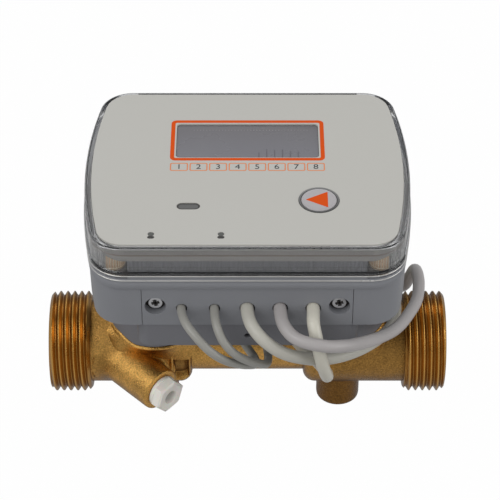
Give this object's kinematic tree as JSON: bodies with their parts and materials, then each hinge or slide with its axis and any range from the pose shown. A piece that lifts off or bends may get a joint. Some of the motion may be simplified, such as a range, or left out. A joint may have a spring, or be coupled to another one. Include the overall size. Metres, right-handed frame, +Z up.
{
  "type": "ultrasonic water heat meter",
  "caption": "Brass flow body with threaded ends and a plugged sensor port, carrying a grey calculator with a display, one button and grey leads.",
  "frame": {"origin": "on the surface the meter stands on, under the middle of the pipe", "axes": "+X along the flow, from the end with the sensor port to the other end; +Y from the cable side to the back; +Z up"},
  "size_m": [0.13, 0.1453, 0.0963],
  "materials": {
    "brass": "cast",
    "steel": "satin",
    "dark_plastic": "matte",
    "rubber": "matte",
    "white_plastic": "satin",
    "bracket_grey": "matte",
    "case_grey": "matte",
    "clear_plastic": "clear",
    "insert_brass": "knurled",
    "face_white": "satin",
    "display_glass": "gloss",
    "red_plastic": "matte",
    "board_green": "gloss",
    "cell_sleeve": "gloss",
    "thin_lead_grey": "satin",
    "supply_lead_grey": "satin",
    "return_lead_grey": "satin",
    "bus_lead_grey": "satin",
    "ferrule_orange": "gloss"
  },
  "bodies": {
    "meter": {"flow_body": "brass", "inlet_reflector": "steel", "outlet_reflector": "steel", "inlet_transducer": "dark_plastic", "outlet_transducer": "dark_plastic", "transducer_seals": "rubber", "inlet_clamp_plate": "steel", "outlet_clamp_plate": "steel", "clamp_screws": "steel", "port_plug": "white_plastic", "port_plug_seal": "rubber", "neck_sleeves": "bracket_grey", "mounting_bracket": "bracket_grey", "bracket_screws": "steel", "base_case": "case_grey", "cable_panel": "case_grey", "panel_screws": "steel", "cable_seal": "rubber", "cover_gasket": "rubber", "clear_cover": "clear_plastic", "cover_inserts": "insert_brass", "cover_screws": "steel", "face_plate": "face_white", "display_window": "display_glass", "optical_window": "dark_plastic", "lcd_panel": "display_glass", "lcd_frame": "white_plastic", "lcd_contact_strips": "rubber", "button_ring": "dark_plastic", "indicator_lamps": "dark_plastic", "switch_body": "dark_plastic", "main_board": "board_green", "board_screws": "steel", "infrared_diodes": "dark_plastic", "terminal_block": "board_green", "lithium_cell": "cell_sleeve", "cell_cradle": "dark_plastic", "inlet_transducer_lead": "thin_lead_grey", "outlet_transducer_lead": "thin_lead_grey", "supply_sensor_lead": "supply_lead_grey", "return_sensor_lead": "return_lead_grey", "bus_lead": "bus_lead_grey", "supply_lead_coil": "supply_lead_grey", "return_lead_coil": "return_lead_grey", "bus_lead_coil": "bus_lead_grey", "coil_ties": "dark_plastic", "supply_probe": "steel", "return_probe": "steel", "bus_wire_ends": "ferrule_orange"},
    "button": {"button": "white_plastic", "switch_plunger": "red_plastic"}
  },
  "joints": [
    {"name": "push_button", "type": "slide", "parent": "meter", "child": "button", "axis": [0, 0, -1], "range_m": [0, 0.0006], "stiffness_N_per_m": 1500, "springref_m": -0.0004}
  ]
}
